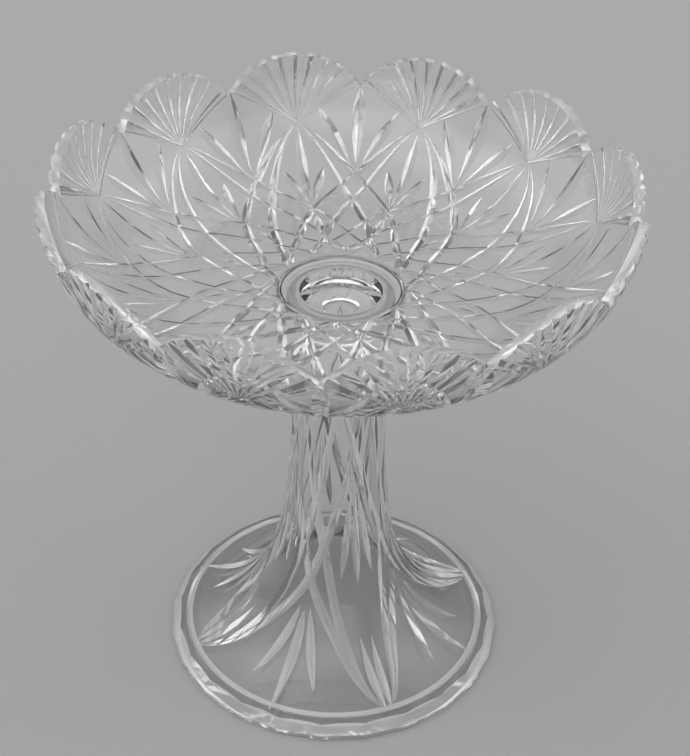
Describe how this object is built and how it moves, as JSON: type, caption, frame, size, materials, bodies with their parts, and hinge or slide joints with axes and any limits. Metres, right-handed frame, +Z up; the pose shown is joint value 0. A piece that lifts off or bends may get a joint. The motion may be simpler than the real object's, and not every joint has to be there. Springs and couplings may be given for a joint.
{
  "type": "compote bowl",
  "caption": "Footed cut-glass compote: a shallow scalloped bowl whose peg drops into the open top of a hollow flared pedestal on a soft clear seat ring.",
  "frame": {"origin": "centre of the underside of the foot, on the surface the compote stands on", "axes": "+Z up along the axis of bowl and pedestal; +X through a notch of the rim"},
  "size_m": [0.2482, 0.2482, 0.248],
  "materials": {
    "pedestal_glass": "polished clear crystal with mitre cuts",
    "seat_ring_vinyl": "soft clear vinyl, satin",
    "bowl_glass": "polished clear crystal with mitre cuts"
  },
  "bodies": {
    "pedestal": {"pedestal": "pedestal_glass"},
    "seat_ring": {"seat_ring": "seat_ring_vinyl"},
    "bowl": {"bowl": "bowl_glass"}
  },
  "joints": [
    {"name": "bowl_turn", "type": "hinge", "parent": "pedestal", "child": "seat_ring", "pos_m": [0, 0, 0.186], "axis": [0, 0, 1], "continuous": true},
    {"name": "bowl_lift", "type": "slide", "parent": "seat_ring", "child": "bowl", "axis": [0, 0, 1], "range_m": [0, 0.05]}
  ]
}
